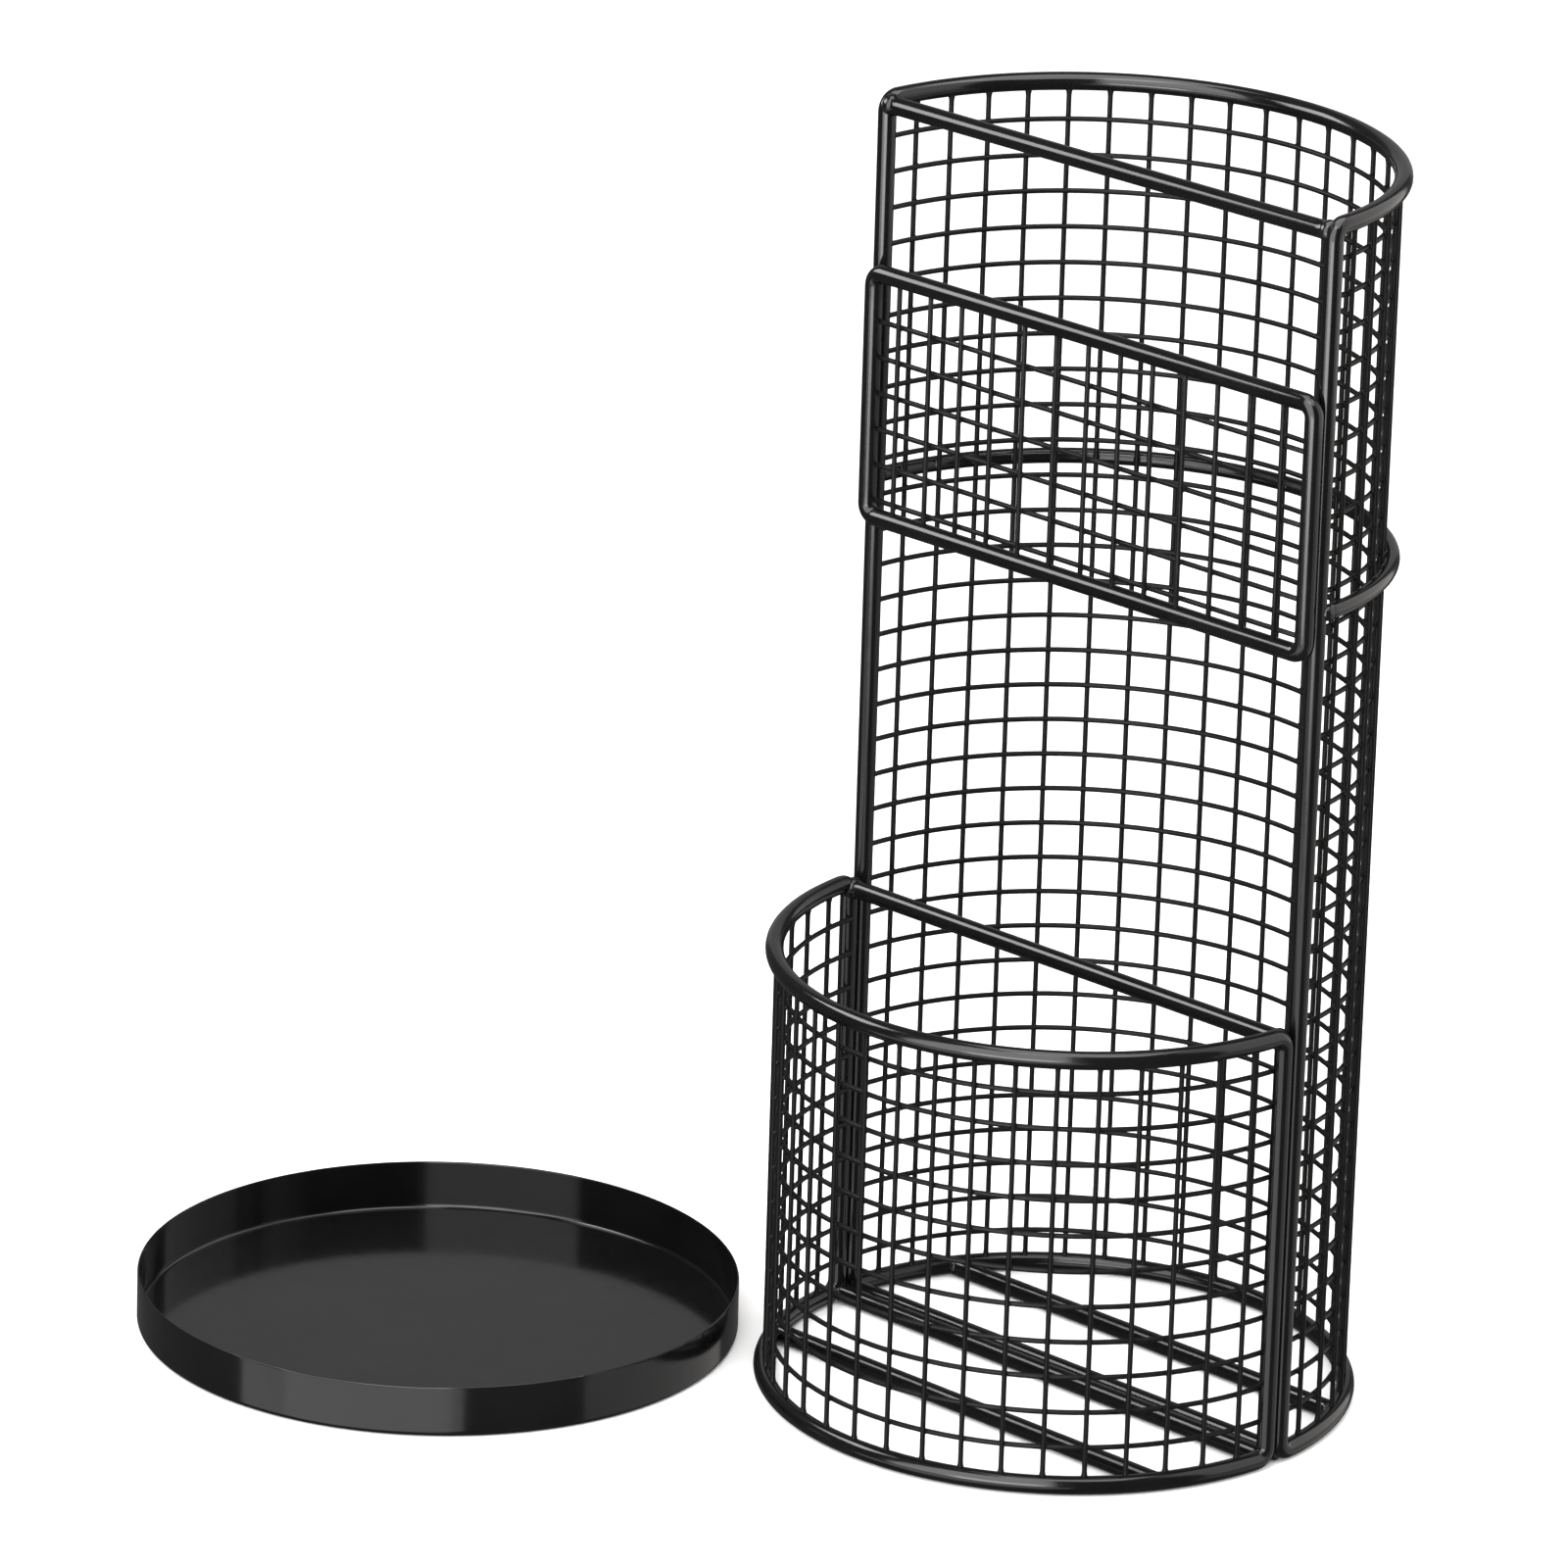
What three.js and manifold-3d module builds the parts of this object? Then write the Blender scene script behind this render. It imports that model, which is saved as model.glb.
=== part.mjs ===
// Round wire-mesh umbrella stand with a loose drip tray.
// Two D-shaped cages stand back to back: a tall one behind, a low one in front.
// A mesh panel closes part of the tall cage's flat side, and a round sheet-metal tray lies beside them.
// Units are millimetres. +Z is up, +Y points from the low cage to the tall one, +X runs along the flat sides.
import * as THREE from "three";
import { mergeVertices } from "three/addons/utils/BufferGeometryUtils.js";
import Module from "manifold-3d";

const wasm = await Module();
wasm.setup();

// Wires. Pieces that are welded in the real stand keep a small gap here.
const frameWire = 3.5; // radius of the thick wire of rings, posts and bars
const middleWire = 3.0; // radius of the ring round the tall cage
const meshWire = 0.886; // half side of a mesh wire, which has the section of a round 2 mm wire
const gap = 0.3;
const middleGap = 0.1; // between the middle ring and the uprights it is welded to
const bite = 0.25; // how deep two mesh wires sink into each other where one piece holds both
const frameSides = 8;
const meshSides = 4;

// Plan of the cages, which share one circle.
const ringRadius = 110.5; // centre line of the thick rings
const halfOffset = frameWire + gap / 2; // from the middle plane to either cage's posts
const cornerBend = 5; // centre-line radius where a ring turns into a post
const floorBarFront = 50.5; // from the middle plane to the bar under each cage
const floorBarRear = 49;
const ringSpans = 20;

// Heights, counted in hoop spacings above the bottom ring.
const hoopPitch = 14;
const tallTop = 34;
const lowTop = 12;
const middleLevel = 23.5;
const middleRise = 1.2; // the middle ring is welded on a little crooked: this much higher at its right end
const panelBottom = 22.55;
const panelTop = 29.35;
const chordDrop = 2; // the bar across a cage's top lies this far under the ring

// Mesh.
const uprightsPerCage = 21;
const uprightEndAngle = THREE.MathUtils.degToRad(9.05); // from the flat side to the first upright
const uprightRadius = 109.6; // the uprights stand just inside the rings' centre line
const hoopRadius = uprightRadius - 2 * meshWire - gap;
const hoopEndOffset = 7.2; // from the middle plane to a hoop's end, at the back of a post
const hoopSpans = 14; // between the end uprights

// Panel. It is welded on a little to the right of the cages' middle.
const panelHalfWidth = 109.4;
const panelCentre = 1.7;
const panelWires = 13;
const panelPitch = 15.9;
const panelHoops = [23, 24, 25, 26, 27, 28];

// Drip tray: it holds the base of the cages inside its rim.
const trayThickness = 0.7;
const trayHeight = 20;
const trayClearance = 0.4; // round the cages' base
const trayBend = 2; // outer radius of the edge between floor and rim
const traySpans = 64;
const trayPlace = [-198.5, -132.8]; // from the cages' axis

const middleRadius = uprightRadius + meshWire + middleGap + middleWire;
const level = (steps) => frameWire + steps * hoopPitch;

const coated = { color: 0x151516, roughness: 0.36, metalness: 0.45 };
const traySteel = { color: 0x242426, roughness: 0.3, metalness: 0.5 };
const model = new THREE.Group();

function add(name, geometry, finish = coated) {
  const mesh = new THREE.Mesh(geometry, new THREE.MeshStandardMaterial(finish));
  mesh.name = name;
  model.add(mesh);
  return mesh;
}

// A path that steps through the points it is given, so that a straight stretch is one span.
class StationPath extends THREE.Curve {
  constructor(stations, closed = false) {
    super();
    this.stations = stations;
    this.spans = closed ? stations.length : stations.length - 1;
  }
  getUtoTmapping(u) {
    return u;
  }
  getPoint(t, target = new THREE.Vector3()) {
    const span = Math.min(Math.floor(t * this.spans), this.spans - 1);
    const next = (span + 1) % this.stations.length;
    return target.lerpVectors(this.stations[span], this.stations[next], t * this.spans - span);
  }
}

// Points on a circle about the stand's axis. side is 1 for the tall cage and -1 for the low one.
function arc(radius, z, side, from, to, spans) {
  return Array.from({ length: spans + 1 }, (_, i) => {
    const angle = from + ((to - from) * i) / spans;
    return new THREE.Vector3(radius * Math.cos(angle), side * radius * Math.sin(angle), z);
  });
}

// Points of an arc that starts at angle end beside one post, stops beside the other,
// and has a point at each end upright.
function meshArc(radius, z, side, end, spans) {
  const first = uprightEndAngle;
  const last = Math.PI - uprightEndAngle;
  return [
    ...arc(radius, z, side, end, first, 1),
    ...arc(radius, z, side, first, last, spans).slice(1),
    ...arc(radius, z, side, last, Math.PI - end, 1).slice(1),
  ];
}

// Points of a quarter turn that leaves start along heading and ends along turned.
function bend(start, heading, turned, radius, spans = 4) {
  return Array.from({ length: spans }, (_, i) => {
    const angle = ((i + 1) / spans) * (Math.PI / 2);
    return start
      .clone()
      .addScaledVector(heading, radius * Math.sin(angle))
      .addScaledVector(turned, radius * (1 - Math.cos(angle)));
  });
}

// An open wire with flat ends. turn rotates its section about the wire.
function wire(stations, radius, sides = frameSides, turn = 0) {
  const corners = Array.from({ length: sides }, (_, i) => {
    const angle = (i / sides) * 2 * Math.PI + turn;
    return new THREE.Vector2(radius * Math.cos(angle), radius * Math.sin(angle));
  });
  return new THREE.ExtrudeGeometry(new THREE.Shape(corners), {
    extrudePath: new StationPath(stations),
    steps: stations.length - 1,
    bevelEnabled: false,
  });
}

// A square mesh wire whose faces are turned by facing about the wire.
function meshWireAlong(stations, facing = 0) {
  return wire(stations, meshWire * Math.SQRT2, meshSides, Math.PI / 4 + facing);
}

// A straight thick wire along X.
function bar(name, halfLength, y, z) {
  const ends = [new THREE.Vector3(-halfLength, y, z), new THREE.Vector3(halfLength, y, z)];
  add(name, wire(ends, frameWire));
}

// Joins geometries into one closed solid.
function joined(geometries) {
  const solids = geometries.map((geometry) => {
    geometry.deleteAttribute("normal");
    geometry.deleteAttribute("uv");
    const merged = mergeVertices(geometry, 1e-4);
    return new wasm.Manifold(
      new wasm.Mesh({
        numProp: 3,
        vertProperties: merged.attributes.position.array,
        triVerts: new Uint32Array(merged.index.array),
      }),
    );
  });
  const mesh = solids.reduce((whole, solid) => whole.add(solid)).getMesh();
  return new THREE.BufferGeometry()
    .setAttribute("position", new THREE.BufferAttribute(mesh.vertProperties, 3))
    .setIndex(new THREE.BufferAttribute(mesh.triVerts, 1))
    .toNonIndexed();
}

// One cage's outline: bottom ring, two posts and top ring bent from one wire.
const up = new THREE.Vector3(0, 0, 1);
const down = new THREE.Vector3(0, 0, -1);
const arcEnd =
  Math.atan(cornerBend / ringRadius) + Math.asin(halfOffset / Math.hypot(ringRadius, cornerBend));
const postX = ringRadius * Math.cos(arcEnd) + cornerBend * Math.sin(arcEnd);

function frameLoop(name, side, top) {
  const low = level(0);
  const high = level(top);
  const post = (x, z) => new THREE.Vector3(x, side * halfOffset, z);
  const heading = (x, y) => new THREE.Vector3(x * Math.sin(arcEnd), y * side * Math.cos(arcEnd), 0);
  const topArc = arc(ringRadius, high, side, arcEnd, Math.PI - arcEnd, ringSpans);
  const bottomArc = arc(ringRadius, low, side, Math.PI - arcEnd, arcEnd, ringSpans);
  const rightTop = post(postX, high - cornerBend);
  const leftBottom = post(-postX, low + cornerBend);
  const stations = [
    post(postX, (low + high) / 2),
    rightTop,
    ...bend(rightTop, up, heading(-1, 1), cornerBend),
    ...topArc.slice(1),
    ...bend(topArc.at(-1), heading(-1, -1), down, cornerBend),
    leftBottom,
    ...bend(leftBottom, down, heading(1, 1), cornerBend),
    ...bottomArc.slice(1),
    ...bend(bottomArc.at(-1), heading(1, -1), up, cornerBend),
  ];
  const path = new StationPath(stations, true);
  add(name, new THREE.TubeGeometry(path, stations.length, frameWire, frameSides, true));
}

// One cage's wires: hoops inside, uprights outside. The two end uprights hold the hoops as one piece.
function cageMesh(name, side, top) {
  const ringReach = ringRadius - uprightRadius - meshWire;
  const endClear = Math.sqrt(frameWire ** 2 - ringReach ** 2) + gap;
  const hoopEnd = Math.asin(hoopEndOffset / hoopRadius);
  const pitch = (Math.PI - 2 * uprightEndAngle) / (uprightsPerCage - 1);
  const upright = (index, radius) => {
    const angle = uprightEndAngle + index * pitch;
    const x = radius * Math.cos(angle);
    const y = side * radius * Math.sin(angle);
    const ends = [level(0) + endClear, level(top) - endClear].map((z) => new THREE.Vector3(x, y, z));
    return meshWireAlong(ends, side * angle);
  };

  const hoops = [];
  for (let row = 1; row < top; row++) {
    hoops.push(meshWireAlong(meshArc(hoopRadius, level(row), side, hoopEnd, hoopSpans)));
  }
  const heldRadius = hoopRadius + 2 * meshWire - bite;
  const last = uprightsPerCage - 1;
  add(`${name}_hoops`, joined([...hoops, upright(0, heldRadius), upright(last, heldRadius)]));
  for (let index = 1; index < last; index++) {
    add(`${name}_upright_${String(index + 1).padStart(2, "0")}`, upright(index, uprightRadius));
  }
}

// The panel's thick outline, a rounded rectangle in the plane of the low cage's posts.
function panelFrame() {
  const bottom = level(panelBottom);
  const top = level(panelTop);
  const point = (x, z) => new THREE.Vector3(panelCentre + x, -halfOffset, z);
  const right = new THREE.Vector3(1, 0, 0);
  const left = new THREE.Vector3(-1, 0, 0);
  const inner = panelHalfWidth - cornerBend;
  const corners = [
    [point(inner, bottom), right, up],
    [point(panelHalfWidth, top - cornerBend), up, left],
    [point(-inner, top), left, down],
    [point(-panelHalfWidth, bottom + cornerBend), down, right],
  ];
  const stations = [point(0, bottom)];
  for (const [start, heading, turned] of corners) {
    stations.push(start, ...bend(start, heading, turned, cornerBend));
  }
  const path = new StationPath(stations, true);
  add("panel_frame", new THREE.TubeGeometry(path, stations.length, frameWire, frameSides, true));
}

// The panel's welded mesh, one piece.
function panelMesh() {
  const inset = frameWire + gap;
  const depth = meshWire - bite / 2;
  const wires = [];
  const heights = [level(panelBottom) + inset, level(panelTop) - inset];
  for (let column = 0; column < panelWires; column++) {
    const x = panelCentre + (column - (panelWires - 1) / 2) * panelPitch;
    wires.push(meshWireAlong(heights.map((z) => new THREE.Vector3(x, -halfOffset - depth, z))));
  }
  const reach = panelHalfWidth - inset;
  const ends = [panelCentre - reach, panelCentre + reach];
  for (const row of panelHoops) {
    wires.push(
      meshWireAlong(ends.map((x) => new THREE.Vector3(x, -halfOffset + depth, level(row)))),
    );
  }
  add("panel_mesh", joined(wires));
}

// The tray: a pressed disc of thin sheet with an upright rim and a rounded lower edge.
function dripTray() {
  const outer = ringRadius + frameWire + trayClearance + trayThickness;
  const inner = outer - trayThickness;
  const innerBend = trayBend - trayThickness;
  const quarter = (radius) =>
    [1, 2, 3].map((step) => {
      const angle = (step / 3) * (Math.PI / 2);
      return new THREE.Vector2(
        outer - trayBend + radius * Math.sin(angle),
        trayBend - radius * Math.cos(angle),
      );
    });
  const profile = [
    new THREE.Vector2(0, 0),
    new THREE.Vector2(outer - trayBend, 0),
    ...quarter(trayBend),
    new THREE.Vector2(outer, trayHeight),
    new THREE.Vector2(inner, trayHeight),
    ...quarter(innerBend).reverse(),
    new THREE.Vector2(outer - trayBend, trayThickness),
    new THREE.Vector2(0, trayThickness),
  ];
  const tray = add("drip_tray", new THREE.LatheGeometry(profile, traySpans), traySteel);
  tray.rotation.x = Math.PI / 2; // the profile's height, along Y, becomes Z
  tray.position.set(trayPlace[0], trayPlace[1], 0);
}

// Tall cage behind.
frameLoop("rear_frame_loop", 1, tallTop);
bar("rear_top_bar", postX - frameWire - gap, halfOffset, level(tallTop) - chordDrop);
bar("rear_bottom_bar", postX - frameWire - gap, halfOffset, level(0));
cageMesh("rear_mesh", 1, tallTop);

// Low cage in front.
frameLoop("front_frame_loop", -1, lowTop);
bar("front_top_bar", postX - frameWire - gap, -halfOffset, level(lowTop) - chordDrop);
bar("front_bottom_bar", postX - frameWire - gap, -halfOffset, level(0));
cageMesh("front_mesh", -1, lowTop);

// The bars across the floor reach the inside of the bottom ring.
const floorBarReach = (y) => Math.sqrt((ringRadius - frameWire) ** 2 - (y + frameWire) ** 2) - gap;
bar("rear_floor_bar", floorBarReach(floorBarRear), floorBarRear, level(0));
bar("front_floor_bar", floorBarReach(floorBarFront), -floorBarFront, level(0));

// The thinner ring round the tall cage ends against the backs of the posts.
const middleEnd = Math.asin((halfOffset + frameWire + gap) / middleRadius);
const middlePath = meshArc(middleRadius, level(middleLevel), 1, middleEnd, uprightsPerCage - 1);
for (const point of middlePath) point.z += (middleRise * point.x) / middleRadius;
add("middle_ring", wire(middlePath, middleWire));

panelFrame();
panelMesh();
dripTray();

// The origin is on the floor, under the middle of the whole object.
const size = new THREE.Box3().setFromObject(model);
model.position.set(-(size.min.x + size.max.x) / 2, -(size.min.y + size.max.y) / 2, -size.min.z);

export default model;
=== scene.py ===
"""Wire-mesh umbrella stand with a loose drip tray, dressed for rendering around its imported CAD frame."""
import math

import bpy
import numpy as np
from mathutils import Matrix, Quaternion, Vector


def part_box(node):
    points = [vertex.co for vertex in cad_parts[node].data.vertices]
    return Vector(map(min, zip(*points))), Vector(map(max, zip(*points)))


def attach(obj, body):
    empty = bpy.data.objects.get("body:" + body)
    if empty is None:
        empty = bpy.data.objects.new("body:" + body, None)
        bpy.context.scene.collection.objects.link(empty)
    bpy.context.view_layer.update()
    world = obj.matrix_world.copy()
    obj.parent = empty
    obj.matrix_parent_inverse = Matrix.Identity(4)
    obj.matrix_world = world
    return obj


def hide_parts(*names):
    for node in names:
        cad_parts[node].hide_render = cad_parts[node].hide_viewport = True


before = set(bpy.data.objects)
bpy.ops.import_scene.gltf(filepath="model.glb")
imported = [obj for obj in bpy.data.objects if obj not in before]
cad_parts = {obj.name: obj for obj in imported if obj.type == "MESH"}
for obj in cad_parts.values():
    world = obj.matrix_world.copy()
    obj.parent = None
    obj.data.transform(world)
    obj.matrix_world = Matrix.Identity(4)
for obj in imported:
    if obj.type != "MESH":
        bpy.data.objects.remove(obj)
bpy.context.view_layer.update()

MM = 0.001
UP = Vector((0, 0, 1))
RIGHT = Vector((1, 0, 0))
BACK = Vector((0, 1, 0))

# ---- sizes, in metres: the CAD's, or a little off them so that welded wires run into each other ----
FRAME_WIRE = 3.49 * MM             # radius of the thick wire, just inside the CAD's
MIDDLE_WIRE = 3.0 * MM             # radius of the ring round the tall cage
MESH_WIRE = 1.0 * MM               # radius of the mesh wires
CORNER_BEND = 5.0 * MM             # centre-line radius where a ring turns into a post
HOOP_PITCH = 14.0 * MM             # from one hoop of the mesh to the next
TALL_TOP, LOW_TOP = 34, 12         # top rings, in hoop pitches above the bottom ring, as all levels are
MIDDLE_LEVEL = 23.5
MIDDLE_RISE = 1.2 * MM             # how much higher than level the middle ring is at its right end
MIDDLE_RADIUS = 113.0 * MM
PANEL_BOTTOM, PANEL_TOP = 22.55, 29.35
PANEL_WIRES, PANEL_PITCH = 13, 15.9 * MM
PANEL_HOOPS = range(23, 29)        # levels of the panel's cross wires
UPRIGHTS = 21                      # of each cage
UPRIGHT_RADIUS = 109.7 * MM        # uprights, from the cages' axis
UPRIGHT_END_ANGLE = math.radians(9.05)
HOOP_RADIUS = UPRIGHT_RADIUS - 1.7 * MESH_WIRE      # hoops and uprights sink into each other a little
HOOP_END = 4.4 * MM                # from the middle plane to a hoop's end
TRAY_THICKNESS = 0.7 * MM
TRAY_BEND = 2 * MM                 # outer radius of the tray's lower edge
TRAY_WAVE = 0.05 * MM              # the rim is off round by up to twice this

# ---- places, from the frame ----
loop_low, loop_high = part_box("rear_frame_loop")
panel_low, panel_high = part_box("panel_frame")
tray_low, tray_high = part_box("drip_tray")
AXIS_X = (loop_low.x + loop_high.x) / 2
HALF_OFFSET = (loop_low.y - panel_low.y) / 2              # from the middle plane to either cage's posts
AXIS_Y = loop_low.y + FRAME_WIRE - HALF_OFFSET
POST_X = (loop_high.x - loop_low.x) / 2 - FRAME_WIRE
RING_RADIUS = POST_X
PANEL_HALF = (panel_high.x - panel_low.x) / 2 - FRAME_WIRE
PANEL_X = (panel_low.x + panel_high.x) / 2 - AXIS_X       # the panel sits a little to the right


def level(steps):
    """The height of a centre line that many hoop pitches above the bottom ring's."""
    return FRAME_WIRE + steps * HOOP_PITCH


def place(x, y, z):
    """A point given from the cages' axis, in the row frame."""
    return Vector((AXIS_X + x, AXIS_Y + y, z))


# ---- mesh code ----
WIRE_SIDES = 24              # of the thick wires
MESH_SIDES = 12              # of the mesh wires
ARC_SPANS = 96               # of the rings
HOOP_SPANS = 80
BEND_SPANS = 8
TRAY_SIDES = 256
END_CHAMFER = 0.25           # of the wire's radius
SMALL_BLOB = (5, 10)         # rings and sides
LARGE_BLOB = (11, 24)
SHARP_ANGLE = math.radians(50)


class Build:
    """Collects vertices and faces of one piece."""

    def __init__(self):
        self.vertices, self.faces = [], []

    def add(self, vertices, faces):
        base = len(self.vertices)
        self.vertices.extend(map(tuple, vertices))
        self.faces.extend(tuple(base + i for i in face) for face in faces)

    def piece(self, name, body, material):
        """Makes the piece, which stands for the CAD node of the same name."""
        mesh = bpy.data.meshes.new(name)
        mesh.from_pydata(self.vertices, [], self.faces)
        mesh.validate()
        mesh.polygons.foreach_set("use_smooth", [True] * len(mesh.polygons))
        mesh.set_sharp_from_angle(angle=SHARP_ANGLE)
        mesh.materials.append(material)
        made = bpy.data.objects.new(name, mesh)
        bpy.context.scene.collection.objects.link(made)
        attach(made, body)
        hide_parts(name)


def axes_along(path, closed):
    """The path's points, and a tangent, a normal and a binormal at each, turning as little as possible."""
    points = np.array([tuple(p) for p in path])
    step = np.roll(points, -1, 0) - points
    if not closed:
        step[-1] = step[-2]
    step /= np.linalg.norm(step, axis=1)[:, None]
    before = np.roll(step, 1, 0)
    if not closed:
        before[0] = step[0]
    tangent = step + before
    tangent /= np.linalg.norm(tangent, axis=1)[:, None]
    start = np.eye(3)[np.argmin(np.abs(tangent[0]))]
    normals = [np.cross(tangent[0], start) / np.linalg.norm(np.cross(tangent[0], start))]
    for t in tangent[1:]:
        n = normals[-1] - t * normals[-1].dot(t)
        normals.append(n / np.linalg.norm(n))
    normal = np.array(normals)
    binormal = np.cross(tangent, normal)
    if closed:
        # spread the twist that is left at the end over the whole path, so that the last ring meets the first
        last = normal[-1] - tangent[0] * normal[-1].dot(tangent[0])
        twist = math.atan2(last.dot(binormal[0]), last.dot(normal[0]))
        turn = -twist * np.arange(len(points))[:, None] / len(points)
        normal, binormal = (
            np.cos(turn) * normal + np.sin(turn) * binormal,
            np.cos(turn) * binormal - np.sin(turn) * normal,
        )
    return points, tangent, normal, binormal


def tube(build, path, radius, sides, closed=False):
    """A round wire. radius is one number, or one for each point. An open wire ends in a small chamfer."""
    points, tangent, normal, binormal = axes_along(path, closed)
    radii = np.full(len(points), radius) if np.isscalar(radius) else np.array(radius)
    if not closed:
        chamfer = END_CHAMFER * radii[0]
        points = np.vstack([points[:1], points[:1] + tangent[:1] * chamfer, points[1:-1],
                            points[-1:] - tangent[-1:] * chamfer, points[-1:]])
        repeat = [0, 0, *range(1, len(tangent) - 1), -1, -1]
        normal, binormal, radii = normal[repeat], binormal[repeat], radii[repeat]
        radii[0] -= chamfer
        radii[-1] -= chamfer
    angle = np.arange(sides) * 2 * math.pi / sides
    ring = np.cos(angle)[None, :, None] * normal[:, None] + np.sin(angle)[None, :, None] * binormal[:, None]
    vertices = (points[:, None] + radii[:, None, None] * ring).reshape(-1, 3)
    rows = len(points)
    faces = []
    for i in range(rows if closed else rows - 1):
        a, b = i * sides, ((i + 1) % rows) * sides
        for j in range(sides):
            k = (j + 1) % sides
            faces.append((a + j, a + k, b + k, b + j))
    if not closed:
        faces.append(tuple(reversed(range(sides))))
        faces.append(tuple((rows - 1) * sides + j for j in range(sides)))
    build.add(vertices, faces)


def blob(build, centre, directions, half_sizes, detail=SMALL_BLOB):
    """An ellipsoid with half sizes along three directions: the rounded heap that coated weld metal leaves."""
    x_axis, y_axis, z_axis = (direction * size for direction, size in zip(directions, half_sizes))
    rings, sides = detail
    vertices = [centre + z_axis]
    for i in range(1, rings + 1):
        polar = math.pi * i / (rings + 1)
        for j in range(sides):
            angle = 2 * math.pi * j / sides
            vertices.append(centre + x_axis * (math.sin(polar) * math.cos(angle))
                            + y_axis * (math.sin(polar) * math.sin(angle)) + z_axis * math.cos(polar))
    vertices.append(centre - z_axis)
    faces = []
    last = 1 + (rings - 1) * sides
    for j in range(sides):
        k = (j + 1) % sides
        faces.append((0, 1 + j, 1 + k))
        for i in range(rings - 1):
            a, b = 1 + i * sides, 1 + (i + 1) * sides
            faces.append((a + j, b + j, b + k, a + k))
        faces.append((last + j, len(vertices) - 1, last + k))
    build.add(vertices, faces)


def arc(radius, z, side, start, end, spans):
    """Points of a level arc round the cages' axis. side is 1 for the tall cage and -1 for the low one."""
    angles = [start + (end - start) * i / spans for i in range(spans + 1)]
    return [place(radius * math.cos(a), side * radius * math.sin(a), z) for a in angles]


def bend(start, heading, turned, radius):
    """Points of a quarter turn that leaves start along heading and ends along turned, without start."""
    angles = [math.pi / 2 * (i + 1) / BEND_SPANS for i in range(BEND_SPANS)]
    return [start + heading * (radius * math.sin(a)) + turned * (radius * (1 - math.cos(a)))
            for a in angles]


def straight(a, b, spans):
    """Evenly spaced points of a straight line from a to b."""
    return [a.lerp(b, i / spans) for i in range(spans + 1)]


def around(angle, side):
    """Unit vectors outwards and along the ring at an angle of one cage."""
    return (Vector((math.cos(angle), side * math.sin(angle), 0)),
            Vector((-math.sin(angle), side * math.cos(angle), 0)))


# ---- materials ----
# The noise of each texture of the coating, as its scale and its detail.
MOTTLING = (28, 3)
DUST_PATCHES = (160, 5)
GLOSS_PATCHES = (240, 5)
RUBBED_PATCHES = (420, 4)
ORANGE_PEEL = (1300, 2)

DUST = 0.006                       # how much of the dust's colour shows on level faces, at most
DUST_COLOUR = (0.34, 0.33, 0.32)
BLACK = (0.002, 0.002, 0.0022)
SATIN_BLACK = (0.0025, 0.0025, 0.0025)


def coating(name, base, worn, roughness, peel, specular):
    """Powder coat on steel: faint mottling, fine orange peel, rubbed high spots and a little dust on top."""
    material = bpy.data.materials.new(name)
    material.use_nodes = True
    nodes, links = material.node_tree.nodes, material.node_tree.links
    shader = nodes["Principled BSDF"]
    shader.inputs["Specular IOR Level"].default_value = specular
    space = nodes.new("ShaderNodeTexCoord").outputs["Object"]

    def noise(scale, detail):
        node = nodes.new("ShaderNodeTexNoise")
        node.inputs["Scale"].default_value = scale
        node.inputs["Detail"].default_value = detail
        links.new(space, node.inputs["Vector"])
        return node.outputs["Fac"]

    def spread(value, source, result):
        """Takes the range source of a value to the range result."""
        node = nodes.new("ShaderNodeMapRange")
        links.new(value, node.inputs["Value"])
        for key, number in zip(("From Min", "From Max", "To Min", "To Max"), (*source, *result)):
            node.inputs[key].default_value = number
        return node.outputs["Result"]

    def calculate(operation, a, b):
        node = nodes.new("ShaderNodeMath")
        node.operation = operation
        links.new(a, node.inputs[0])
        links.new(b, node.inputs[1])
        return node.outputs["Value"]

    def mix(factor, a, b):
        """Goes from a to b, which are colours or outputs."""
        node = nodes.new("ShaderNodeMix")
        node.data_type = "RGBA"
        links.new(factor, node.inputs["Factor"])
        for socket, value in ((node.inputs[6], a), (node.inputs[7], b)):
            if isinstance(value, tuple):
                socket.default_value = (*value, 1)
            else:
                links.new(value, socket)
        return node.outputs[2]

    geometry = nodes.new("ShaderNodeNewGeometry")
    split = nodes.new("ShaderNodeSeparateXYZ")
    links.new(geometry.outputs["Normal"], split.inputs["Vector"])

    mottled = mix(spread(noise(*MOTTLING), (0.35, 0.65), (0, 1)), base, tuple(c * 1.5 for c in base))
    high_spots = spread(geometry.outputs["Pointiness"], (0.53, 0.62), (0, 1))
    patches = spread(noise(*RUBBED_PATCHES), (0.42, 0.62), (0.15, 0.9))
    rubbed = calculate("MULTIPLY", high_spots, patches)
    level_faces = spread(split.outputs["Z"], (0.45, 1.0), (0, DUST))
    settled = calculate("MULTIPLY", level_faces, spread(noise(*DUST_PATCHES), (0.35, 0.7), (0.5, 1)))
    links.new(mix(settled, mix(rubbed, mottled, worn), DUST_COLOUR), shader.inputs["Base Color"])

    gloss = spread(noise(*GLOSS_PATCHES), (0.3, 0.7), (roughness * 0.82, roughness * 1.2))
    dulled = calculate("ADD", gloss, spread(rubbed, (0, 1), (0, 0.12)))
    links.new(dulled, shader.inputs["Roughness"])

    bump = nodes.new("ShaderNodeBump")
    bump.inputs["Strength"].default_value = 0.5
    bump.inputs["Distance"].default_value = peel
    links.new(noise(*ORANGE_PEEL), bump.inputs["Height"])
    links.new(bump.outputs["Normal"], shader.inputs["Normal"])
    return material


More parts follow.
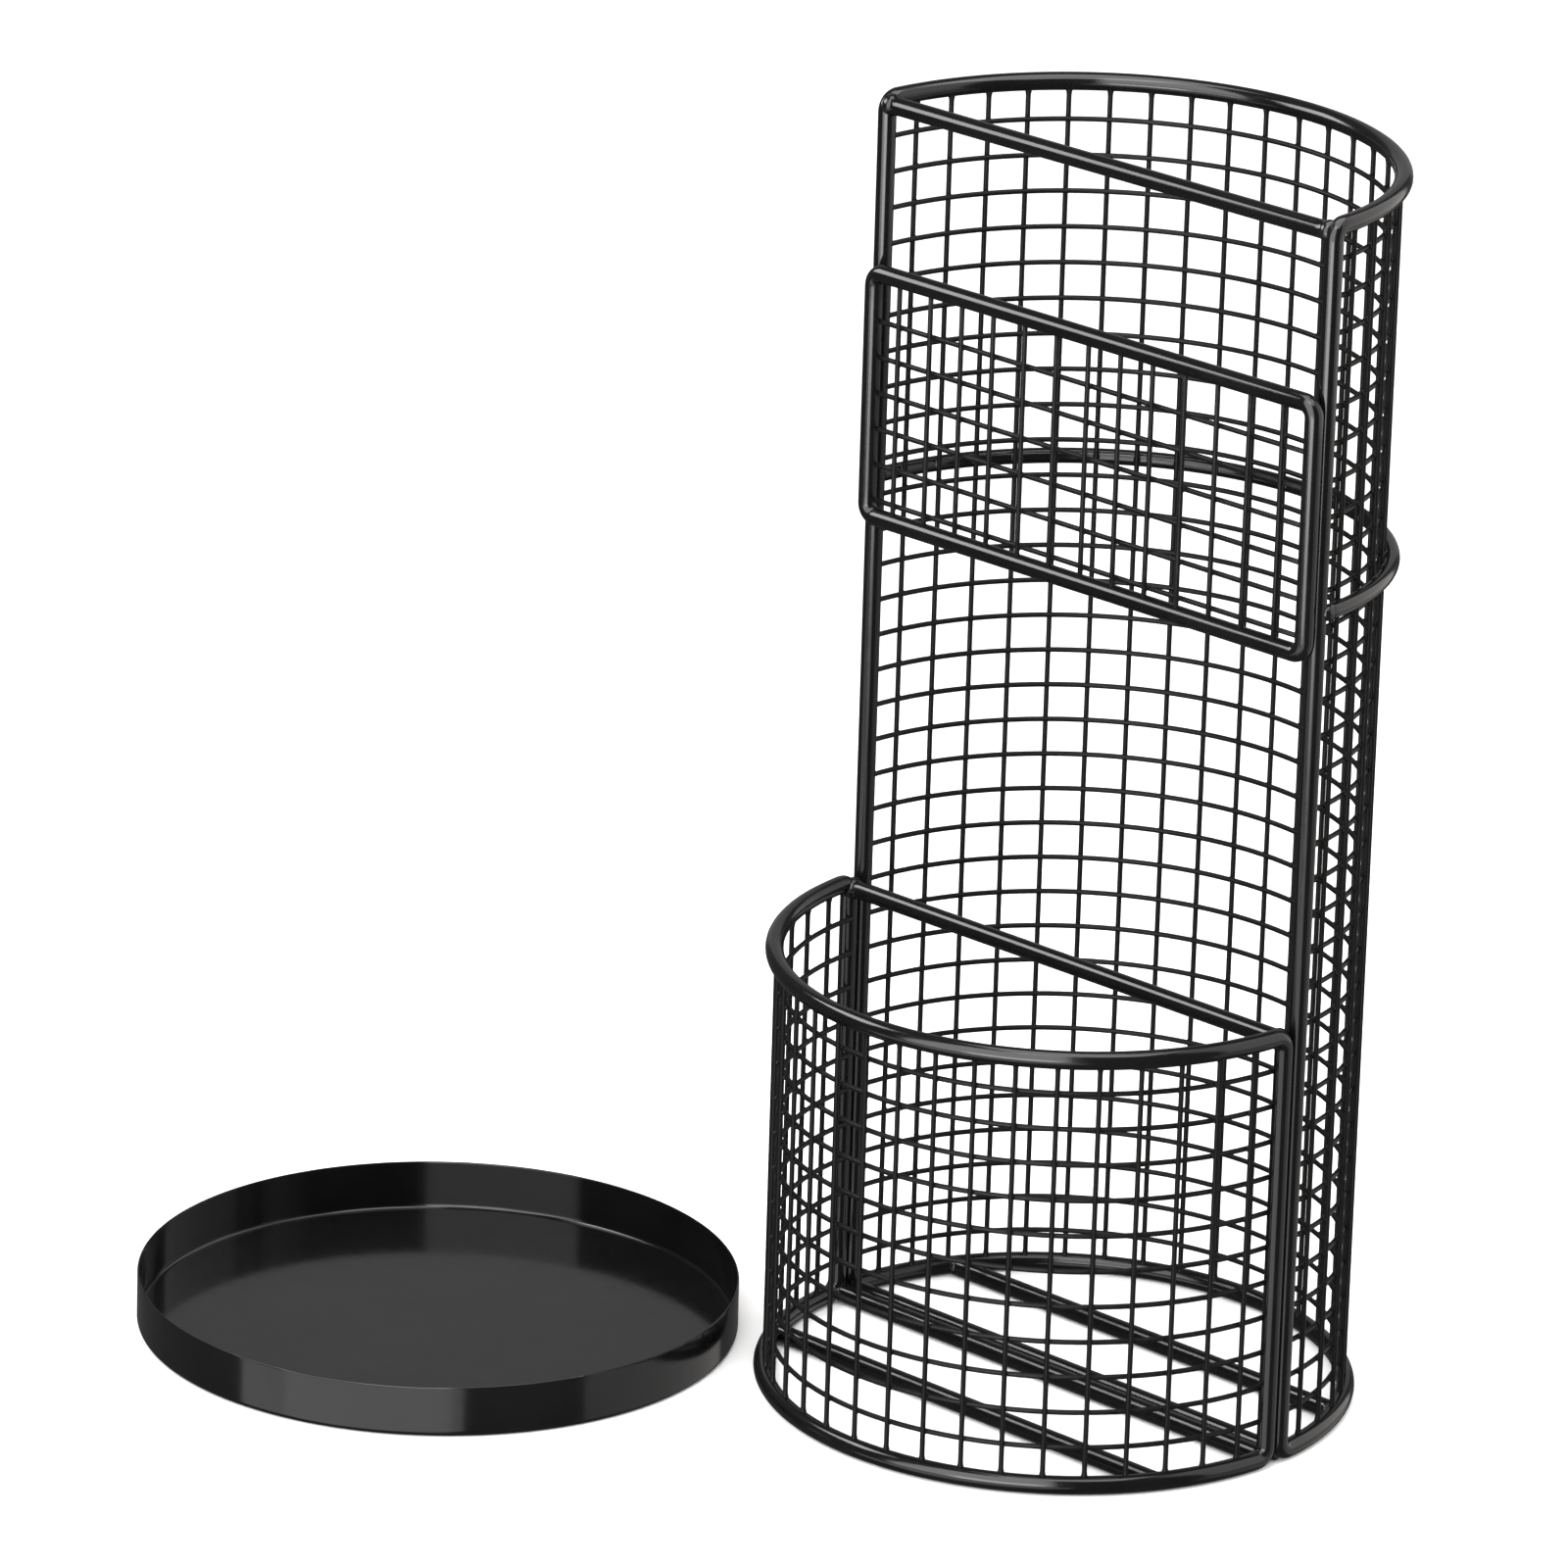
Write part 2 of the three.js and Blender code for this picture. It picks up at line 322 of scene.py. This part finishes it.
frame_coat = coating("frame_coating", base=BLACK, worn=(0.014, 0.0135, 0.013),
                     roughness=0.14, peel=0.02 * MM, specular=0.5)
mesh_coat = coating("mesh_coating", base=SATIN_BLACK, worn=(0.014, 0.014, 0.0135),
                    roughness=0.38, peel=0.02 * MM, specular=0.15)
tray_coat = coating("tray_coating", base=BLACK, worn=(0.03, 0.029, 0.028),
                    roughness=0.12, peel=0.004 * MM, specular=0.5)


# ---- cages ----
ARC_END = math.atan(CORNER_BEND / RING_RADIUS) + math.asin(HALF_OFFSET / math.hypot(RING_RADIUS, CORNER_BEND))
UPRIGHT_PITCH = (math.pi - 2 * UPRIGHT_END_ANGLE) / (UPRIGHTS - 1)
UPRIGHT_ANGLES = [UPRIGHT_END_ANGLE + i * UPRIGHT_PITCH for i in range(UPRIGHTS)]
UPRIGHT_INSET = 1.8 * MM           # from a ring's centre line to an upright's end
CHORD_DROP = level(TALL_TOP) - (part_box("rear_top_bar")[0].z + FRAME_WIRE)     # from a top ring to its bar

# The weld round the end of a top bar: distances from the end, and what it adds to the bar's radius there.
BAR_WELD = [
    (0, 0.7 * MM), (3.4 * MM, 0.7 * MM), (3.8 * MM, 0.45 * MM), (4.4 * MM, 0.24 * MM),
    (5.2 * MM, 0.1 * MM), (6.2 * MM, 0.03 * MM), (7.4 * MM, 0),
]
# The weld round the end of an upright: distances from the end, and the radius there.
UPRIGHT_WELD = [(0, 1.5 * MM), (1.6 * MM, 1.3 * MM), (2.4 * MM, 1.1 * MM), (3.4 * MM, MESH_WIRE)]

# Half sizes of the weld heaps: sideways along the wire or the panel, through it, and up.
FLOOR_HEAP = (3.0 * MM, 3.9 * MM, 3.4 * MM)
FLOOR_HEAP_INSET = 3.2 * MM        # from the end of the bar
CROSSING_HEAP = (1.25 * MM, 1.3 * MM, 1.25 * MM)
MIDDLE_HEAP = (1.7 * MM, 1.1 * MM, 2.5 * MM)
PANEL_HEAP = (1.5 * MM, 1.2 * MM, 5 * MM)


def ring_heading(x, y, side):
    """The level direction of a ring at a post.

    It is to the right where x is 1 and to the left where x is -1, and it is away from the cage's open side
    where y is 1 and towards it where y is -1.
    """
    return Vector((x * math.sin(ARC_END), y * side * math.cos(ARC_END), 0))


def frame_loop(prefix, side, top):
    """Bottom ring, two posts and top ring of one cage, bent from one wire."""
    post_y = side * HALF_OFFSET
    low, high = level(0), level(top)
    post_low, post_high = low + CORNER_BEND, high - CORNER_BEND
    top_arc = arc(RING_RADIUS, high, side, ARC_END, math.pi - ARC_END, ARC_SPANS)
    bottom_arc = arc(RING_RADIUS, low, side, math.pi - ARC_END, ARC_END, ARC_SPANS)
    right = straight(place(POST_X, post_y, post_low), place(POST_X, post_y, post_high), top)
    left = straight(place(-POST_X, post_y, post_high), place(-POST_X, post_y, post_low), top)
    path = [
        *right,
        *bend(right[-1], UP, ring_heading(-1, 1, side), CORNER_BEND),
        *top_arc[1:],
        *bend(top_arc[-1], ring_heading(-1, -1, side), -UP, CORNER_BEND),
        *left[1:],
        *bend(left[-1], -UP, ring_heading(1, 1, side), CORNER_BEND),
        *bottom_arc[1:],
        *bend(bottom_arc[-1], ring_heading(1, -1, side), UP, CORNER_BEND)[:-1],
    ]
    build = Build()
    tube(build, path, FRAME_WIRE, WIRE_SIDES, closed=True)
    build.piece(f"{prefix}_frame_loop", "cages", frame_coat)


def bar(name, half_length, y, z, on_floor):
    """A straight thick wire along X, welded at its ends into the wires there."""
    build = Build()
    inset = [distance for distance, added in BAR_WELD]
    radii = [FRAME_WIRE + (0 if on_floor else added) for distance, added in BAR_WELD]
    along = [-half_length + d for d in inset] + [half_length - d for d in reversed(inset)]
    tube(build, [place(x, y, z) for x in along], radii + radii[::-1], WIRE_SIDES)
    if on_floor:
        # the weld may not reach below the wires, so it is only at the sides
        for end in (-1, 1):
            centre = place(end * (half_length - FLOOR_HEAP_INSET), y, z)
            blob(build, centre, (RIGHT, BACK, UP), FLOOR_HEAP, LARGE_BLOB)
    build.piece(name, "cages", frame_coat)


def floor_reach(y):
    """Half the length of a bar across the floor: it ends on the centre line of the ring."""
    return math.sqrt(RING_RADIUS ** 2 - y ** 2)


def mesh_upright(angle, side, top):
    """The path and radii of an upright, which widens into the weld at the ring above and below."""
    x, y = UPRIGHT_RADIUS * math.cos(angle), side * UPRIGHT_RADIUS * math.sin(angle)
    low, high = level(0) + UPRIGHT_INSET, level(top) - UPRIGHT_INSET
    inset = [distance for distance, radius in UPRIGHT_WELD]
    radii = [radius for distance, radius in UPRIGHT_WELD]
    heights = [low + d for d in inset] + [high - d for d in reversed(inset)]
    return [place(x, y, z) for z in heights], radii + radii[::-1]


def cage_mesh(prefix, side, top):
    """Hoops inside and uprights outside, sunk into each other where they are spot-welded."""
    hoop_end = math.asin(HOOP_END / HOOP_RADIUS)
    hoops = Build()
    for row in range(1, top):
        path = arc(HOOP_RADIUS, level(row), side, hoop_end, math.pi - hoop_end, HOOP_SPANS)
        tube(hoops, path, MESH_WIRE, MESH_SIDES)
        for angle in UPRIGHT_ANGLES:
            out, along = around(angle, side)
            crossing = place(*(out * (HOOP_RADIUS + UPRIGHT_RADIUS) / 2).xy, level(row))
            blob(hoops, crossing, (along, out, UP), CROSSING_HEAP)
    for angle in (UPRIGHT_ANGLES[0], UPRIGHT_ANGLES[-1]):
        tube(hoops, *mesh_upright(angle, side, top), MESH_SIDES)
    hoops.piece(f"{prefix}_mesh_hoops", "cages", mesh_coat)
    for number, angle in enumerate(UPRIGHT_ANGLES[1:-1], start=2):
        upright = Build()
        tube(upright, *mesh_upright(angle, side, top), MESH_SIDES)
        upright.piece(f"{prefix}_mesh_upright_{number:02d}", "cages", mesh_coat)


def cage(prefix, side, top):
    """One half-round cage: its frame, its mesh, and the bars over its open side and across its floor."""
    frame_loop(prefix, side, top)
    cage_mesh(prefix, side, top)
    bar(f"{prefix}_top_bar", POST_X, side * HALF_OFFSET, level(top) - CHORD_DROP, on_floor=False)
    bar(f"{prefix}_bottom_bar", POST_X, side * HALF_OFFSET, level(0), on_floor=True)
    floor_low, floor_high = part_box(f"{prefix}_floor_bar")
    bar_y = (floor_low.y + floor_high.y) / 2 - AXIS_Y
    bar(f"{prefix}_floor_bar", floor_reach(bar_y), bar_y, level(0), on_floor=True)


def middle_point(angle, radius):
    """A point at the height of the middle ring, which is welded on a little crooked."""
    height = level(MIDDLE_LEVEL) + MIDDLE_RISE * math.cos(angle)
    return place(radius * math.cos(angle), radius * math.sin(angle), height)


def middle_ring():
    """The thinner ring outside the tall cage's uprights, welded to them and to the backs of the posts."""
    overlap = 0.5 * MM           # of the ring's ends and the posts
    heap_offset = 0.9 * MM       # from an upright's centre line outwards
    end = math.asin((HALF_OFFSET + FRAME_WIRE - overlap) / MIDDLE_RADIUS)
    turn = math.pi - 2 * end
    build = Build()
    path = [middle_point(end + turn * i / ARC_SPANS, MIDDLE_RADIUS) for i in range(ARC_SPANS + 1)]
    tube(build, path, MIDDLE_WIRE, WIRE_SIDES)
    for angle in UPRIGHT_ANGLES:
        out, along = around(angle, 1)
        blob(build, middle_point(angle, UPRIGHT_RADIUS + heap_offset), (along, out, UP), MIDDLE_HEAP)
    dome = MIDDLE_WIRE + 0.02 * MM
    dome_length = 3.4 * MM
    for angle in (end, math.pi - end):
        out, along = around(angle, 1)
        centre = middle_point(angle, MIDDLE_RADIUS)
        blob(build, centre, (out, along, UP), (dome, dome_length, dome), LARGE_BLOB)
    build.piece("middle_ring", "cages", frame_coat)


cage("rear", 1, TALL_TOP)
cage("front", -1, LOW_TOP)
middle_ring()


# ---- panel ----
def panel_point(x, z, depth=0):
    """A point given from the middle of the panel's width. depth is towards the tall cage."""
    return place(PANEL_X + x, -HALF_OFFSET + depth, z)


def panel_frame(bottom, top):
    """The rounded rectangle, with the welds to the posts."""
    side_spans, cross_spans = 12, 28
    inner = PANEL_HALF - CORNER_BEND
    low, high = bottom + CORNER_BEND, top - CORNER_BEND
    right_side = straight(panel_point(PANEL_HALF, low), panel_point(PANEL_HALF, high), side_spans)
    top_side = straight(panel_point(inner, top), panel_point(-inner, top), cross_spans)
    left_side = straight(panel_point(-PANEL_HALF, high), panel_point(-PANEL_HALF, low), side_spans)
    bottom_side = straight(panel_point(-inner, bottom), panel_point(inner, bottom), cross_spans)
    path = [
        *right_side, *bend(right_side[-1], UP, -RIGHT, CORNER_BEND),
        *top_side[1:], *bend(top_side[-1], -RIGHT, -UP, CORNER_BEND),
        *left_side[1:], *bend(left_side[-1], -UP, RIGHT, CORNER_BEND),
        *bottom_side[1:], *bend(bottom_side[-1], RIGHT, UP, CORNER_BEND)[:-1],
    ]
    build = Build()
    tube(build, path, FRAME_WIRE, WIRE_SIDES, closed=True)
    heap_x = POST_X - 0.4 * MM
    heap_inset = 14 * MM         # from the top and the bottom of the panel
    for side in (-1, 1):
        for z in (bottom + heap_inset, (bottom + top) / 2, top - heap_inset):
            blob(build, place(side * heap_x, 0, z), (RIGHT, BACK, UP), PANEL_HEAP)
    build.piece("panel_frame", "cages", frame_coat)


def panel_mesh(bottom, top):
    """Uprights in front and cross wires behind, their ends sunk into the frame wire."""
    depth = 0.85 * MESH_WIRE
    reach = FRAME_WIRE - 0.6 * MM
    upright_spans, cross_spans = 6, 14
    columns = [(i - (PANEL_WIRES - 1) / 2) * PANEL_PITCH for i in range(PANEL_WIRES)]
    build = Build()
    for x in columns:
        ends = [panel_point(x, bottom + reach, -depth), panel_point(x, top - reach, -depth)]
        tube(build, straight(*ends, upright_spans), MESH_WIRE, MESH_SIDES)
    for row in PANEL_HOOPS:
        ends = [panel_point(side * (PANEL_HALF - reach), level(row), depth) for side in (-1, 1)]
        tube(build, straight(*ends, cross_spans), MESH_WIRE, MESH_SIDES)
        for x in columns:
            blob(build, panel_point(x, level(row)), (RIGHT, BACK, UP), CROSSING_HEAP)
    build.piece("panel_mesh", "cages", mesh_coat)


panel_frame(level(PANEL_BOTTOM), level(PANEL_TOP))
panel_mesh(level(PANEL_BOTTOM), level(PANEL_TOP))


# ---- tray ----
def sweep(centre_r, centre_z, radius, start, end, spans):
    """Points of an arc in the tray's section, from one angle in degrees to another."""
    angles = [math.radians(start + (end - start) * i / spans) for i in range(spans + 1)]
    return [(centre_r + radius * math.cos(a), centre_z + radius * math.sin(a)) for a in angles]


def tray_section(outer, edge, height):
    """Radius and height along the sheet: under the floor, up the outside, over the lip, and back inside."""
    lip = TRAY_THICKNESS / 2
    floor_rings = [edge * share for share in (0.06, 0.2, 0.35, 0.5, 0.65, 0.8, 0.9, 0.96, 0.99)]
    wall = height - lip - TRAY_BEND
    wall_rings = [TRAY_BEND + wall * share for share in (0.03, 0.1, 0.3, 0.5, 0.7, 0.9, 0.97)]
    return [
        *((r, 0) for r in floor_rings),
        *sweep(edge, TRAY_BEND, TRAY_BEND, -90, 0, 10),
        *((outer, z) for z in wall_rings),
        *sweep(outer - lip, height - lip, lip, 0, 180, 8),
        *((outer - TRAY_THICKNESS, z) for z in reversed(wall_rings)),
        *sweep(edge, TRAY_BEND, TRAY_BEND - TRAY_THICKNESS, 0, -90, 8),
        *((r, TRAY_THICKNESS) for r in reversed(floor_rings)),
    ]


def tray():
    """Pressed sheet: a flat floor, a rounded lower edge and an upright rim with a rounded lip."""
    outer = (tray_high.x - tray_low.x) / 2
    edge = outer - TRAY_BEND
    height = tray_high.z
    section = tray_section(outer, edge, height)
    centre = Vector(((tray_low.x + tray_high.x) / 2, (tray_low.y + tray_high.y) / 2, 0))
    vertices = [centre]
    for r, z in section:
        for i in range(TRAY_SIDES):
            a = 2 * math.pi * i / TRAY_SIDES
            # the rim is never quite round: three slow waves, inwards only
            wave = TRAY_WAVE * (z / height) * (1 + math.sin(3 * a + 0.7)) if r > edge else 0
            vertices.append(centre + Vector(((r - wave) * math.cos(a), (r - wave) * math.sin(a), z)))
    vertices.append(centre + UP * TRAY_THICKNESS)
    faces = []
    rows = len(section)
    for i in range(rows - 1):
        a, b = 1 + i * TRAY_SIDES, 1 + (i + 1) * TRAY_SIDES
        for j in range(TRAY_SIDES):
            k = (j + 1) % TRAY_SIDES
            faces.append((a + j, a + k, b + k, b + j))
    last = 1 + (rows - 1) * TRAY_SIDES
    for j in range(TRAY_SIDES):
        k = (j + 1) % TRAY_SIDES
        faces.append((0, 1 + k, 1 + j))
        faces.append((last + j, last + k, len(vertices) - 1))
    build = Build()
    build.add(vertices, faces)
    build.piece("drip_tray", "tray", tray_coat)


tray()


# ---- floor, light and camera ----
WATTS_PER_RADIANCE = math.pi       # watts per square metre that make an area light as bright as white
WHITE = (1, 1, 1)
WARM = (1, 0.97, 0.94)
LAMP_WHITE = (1, 0.975, 0.95)

# The camera stands off the cages' right front corner and looks down on them.
CAMERA_AZIMUTH, CAMERA_ELEVATION, CAMERA_ROLL = 43.51, 19.453, 1.686   # degrees
CAMERA_DISTANCE = 3.995
CAMERA_LENS, CAMERA_SENSOR = 246.15, 36                # millimetres
AIM_HEIGHT = 0.223                                     # of a point on the cages' axis
AIM_RIGHT, AIM_UP = -0.10838, 0.01545                  # from that point to the middle of the picture


def white_floor():
    """A plain table top, just below the object. It casts no shadow and doesn't show in reflections."""
    half, z = 6.0, -0.2 * MM
    corners = [(x * half, y * half, z) for x, y in ((-1, -1), (1, -1), (1, 1), (-1, 1))]
    mesh = bpy.data.meshes.new("floor")
    mesh.from_pydata(corners, [], [(0, 1, 2, 3)])
    material = bpy.data.materials.new("floor_white")
    material.use_nodes = True
    shader = material.node_tree.nodes["Principled BSDF"]
    shader.inputs["Base Color"].default_value = (0.93, 0.93, 0.93, 1)
    shader.inputs["Roughness"].default_value = 1.0
    shader.inputs["Specular IOR Level"].default_value = 0.0
    mesh.materials.append(material)
    floor = bpy.data.objects.new("floor", mesh)
    bpy.context.scene.collection.objects.link(floor)
    floor.visible_glossy = False
    floor.visible_shadow = False


def studio_world():
    """Even white light from everywhere, which is much dimmer in reflections than it is as light."""
    world = bpy.data.worlds.new("studio")
    bpy.context.scene.world = world
    world.use_nodes = True
    world.cycles.sampling_method = "NONE"
    nodes, links = world.node_tree.nodes, world.node_tree.links
    light = nodes["Background"]
    reflected = nodes.new("ShaderNodeBackground")
    for background, strength in ((light, 1.0), (reflected, 0.09)):
        background.inputs["Color"].default_value = (*WHITE, 1)
        background.inputs["Strength"].default_value = strength
    rays = nodes.new("ShaderNodeLightPath")
    mix = nodes.new("ShaderNodeMixShader")
    links.new(rays.outputs["Is Glossy Ray"], mix.inputs[0])
    links.new(light.outputs[0], mix.inputs[1])
    links.new(reflected.outputs[0], mix.inputs[2])
    links.new(mix.outputs[0], nodes["World Output"].inputs[0])


def softbox(name, width, height, radiance, colour, location, turn):
    """A rectangular light, so many times as bright as white. Reflections show it, but the camera doesn't."""
    light = bpy.data.lights.new(name, "AREA")
    light.shape = "RECTANGLE"
    light.size, light.size_y = width, height
    light.energy = radiance * width * height * WATTS_PER_RADIANCE
    light.color = colour
    made = bpy.data.objects.new(name, light)
    made.location = location
    made.rotation_mode = "QUATERNION"
    made.rotation_quaternion = turn
    made.visible_camera = False
    bpy.context.scene.collection.objects.link(made)


def from_camera(azimuth):
    """The level direction at an azimuth measured from the camera's, positive to its right."""
    turned = math.radians(CAMERA_AZIMUTH + azimuth)
    return Vector((math.sin(turned), -math.cos(turned), 0))


def wall_light(name, azimuth, distance, bottom, top, width, radiance, colour=WHITE):
    """An upright softbox that faces the cages' axis."""
    away = from_camera(azimuth)
    location = place(0, 0, (bottom + top) / 2) + away * distance
    softbox(name, width, top - bottom, radiance, colour, location, away.to_track_quat("Z", "Y"))


def ceiling_light(name, azimuth, offset, height, width, depth, radiance, colour):
    """A level softbox overhead, square to the camera and moved off the cages' axis."""
    location = place(0, 0, height) + from_camera(azimuth) * offset
    softbox(name, width, depth, radiance, colour, location, Quaternion(UP, math.radians(CAMERA_AZIMUTH)))


def studio_lights():
    """The walls and the ceiling, and lights below the table top that stand for its sheen in reflections."""
    key = {"azimuth": -30.5, "distance": 1.5, "width": 1.77}
    right_wall = {"azimuth": 100, "distance": 1.6, "width": 3.0, "colour": WARM}
    wall_light("key_front_left", bottom=-0.1, top=3.6, radiance=4.0, **key)
    wall_light("key_low", azimuth=-20, distance=1.2, bottom=-0.12, top=0.3, width=0.7, radiance=4.5)
    wall_light("key_sheen_on_table", bottom=-1.5, top=-0.1, radiance=0.45, **key)
    wall_light("tray_sheen_on_table", azimuth=-36, distance=1.6, bottom=-0.95, top=-0.36,
               width=2.9, radiance=1.3)
    wall_light("strip_left", azimuth=-102, distance=0.75, bottom=0.62, top=1.05, width=0.5, radiance=8.0)
    wall_light("wall_right", bottom=-0.1, top=3.6, radiance=1.25, **right_wall)
    wall_light("right_sheen_on_table", bottom=-1.5, top=-0.1, radiance=0.5, **right_wall)
    wall_light("wall_back", azimuth=180, distance=2.0, bottom=0.0, top=1.7, width=1.8, radiance=0.24)
    ceiling_light("ceiling", azimuth=25, offset=0.16, height=1.05, width=0.62, depth=0.8,
                  radiance=3.8, colour=LAMP_WHITE)


def camera():
    """A long lens that looks at a point beside the cages' axis, turned a little about its line of sight."""
    azimuth, elevation, roll = map(math.radians, (CAMERA_AZIMUTH, CAMERA_ELEVATION, CAMERA_ROLL))
    forward = Vector((-math.sin(azimuth) * math.cos(elevation), math.cos(azimuth) * math.cos(elevation),
                      -math.sin(elevation)))
    level_right = Vector((math.cos(azimuth), math.sin(azimuth), 0))
    level_up = level_right.cross(forward)
    right = level_right * math.cos(roll) + level_up * math.sin(roll)
    up = level_up * math.cos(roll) - level_right * math.sin(roll)
    data = bpy.data.cameras.new("camera")
    data.lens, data.sensor_width = CAMERA_LENS, CAMERA_SENSOR
    data.clip_start, data.clip_end = 0.1, 50
    made = bpy.data.objects.new("camera", data)
    aim = place(0, 0, AIM_HEIGHT) + right * AIM_RIGHT + up * AIM_UP
    turn = Matrix((right, up, -forward)).transposed().to_4x4()
    made.matrix_world = Matrix.Translation(aim - forward * CAMERA_DISTANCE) @ turn
    bpy.context.scene.collection.objects.link(made)
    bpy.context.scene.camera = made


white_floor()
studio_world()
studio_lights()
camera()
bpy.context.scene.view_settings.view_transform = "Standard"
